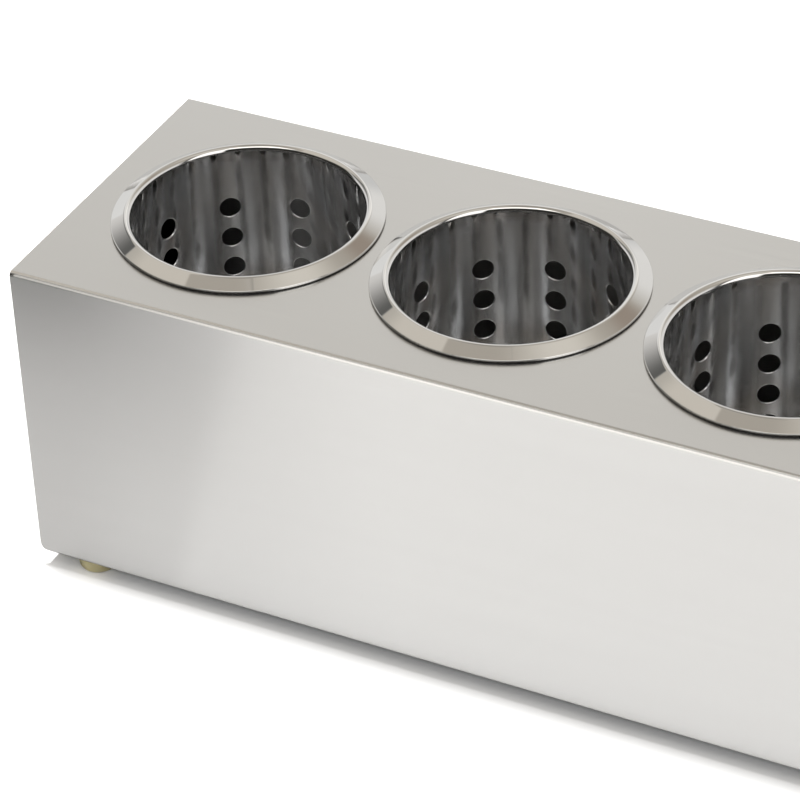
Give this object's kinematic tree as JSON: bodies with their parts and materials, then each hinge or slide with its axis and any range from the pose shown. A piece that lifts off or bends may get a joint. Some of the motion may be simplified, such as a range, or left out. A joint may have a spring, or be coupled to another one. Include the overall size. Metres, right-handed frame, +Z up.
{
  "type": "cutlery holder",
  "caption": "Counter-top cutlery holder: a folded steel housing on rubber feet, with a row of loose perforated cups that lift out of its deck.",
  "frame": {"origin": "on the surface that the feet stand on, under the centre of the housing", "axes": "+X along the row of cups, -Y out of the front panel, +Z up"},
  "size_m": [0.5, 0.15, 0.1543],
  "materials": {
    "housing_steel": "brushed along its length, folded sheet",
    "cup_steel": "polished to a mirror on the rim, drawn vertical streaks in the bore",
    "base_steel": "satin, pressed sheet",
    "foot_rubber": "olive, slightly translucent, satin",
    "fastener_steel": "zinc plated"
  },
  "bodies": {
    "holder": {"housing": "housing_steel", "foot_front_left": "foot_rubber", "foot_washer_front_left": "fastener_steel", "foot_screw_front_left": "fastener_steel", "foot_nut_front_left": "fastener_steel", "foot_front_right": "foot_rubber", "foot_washer_front_right": "fastener_steel", "foot_screw_front_right": "fastener_steel", "foot_nut_front_right": "fastener_steel", "foot_rear_left": "foot_rubber", "foot_washer_rear_left": "fastener_steel", "foot_screw_rear_left": "fastener_steel", "foot_nut_rear_left": "fastener_steel", "foot_rear_right": "foot_rubber", "foot_washer_rear_right": "fastener_steel", "foot_screw_rear_right": "fastener_steel", "foot_nut_rear_right": "fastener_steel"},
    "cup_1": {"cup_1_wall": "cup_steel", "cup_1_base": "base_steel"},
    "cup_2": {"cup_2_wall": "cup_steel", "cup_2_base": "base_steel"},
    "cup_3": {"cup_3_wall": "cup_steel", "cup_3_base": "base_steel"},
    "cup_4": {"cup_4_wall": "cup_steel", "cup_4_base": "base_steel"}
  },
  "joints": [
    {"name": "cup_1_lift", "type": "slide", "parent": "holder", "child": "cup_1", "axis": [0, 0, 1], "range_m": [0, 0.15]},
    {"name": "cup_2_lift", "type": "slide", "parent": "holder", "child": "cup_2", "axis": [0, 0, 1], "range_m": [0, 0.15]},
    {"name": "cup_3_lift", "type": "slide", "parent": "holder", "child": "cup_3", "axis": [0, 0, 1], "range_m": [0, 0.15]},
    {"name": "cup_4_lift", "type": "slide", "parent": "holder", "child": "cup_4", "axis": [0, 0, 1], "range_m": [0, 0.15]}
  ]
}
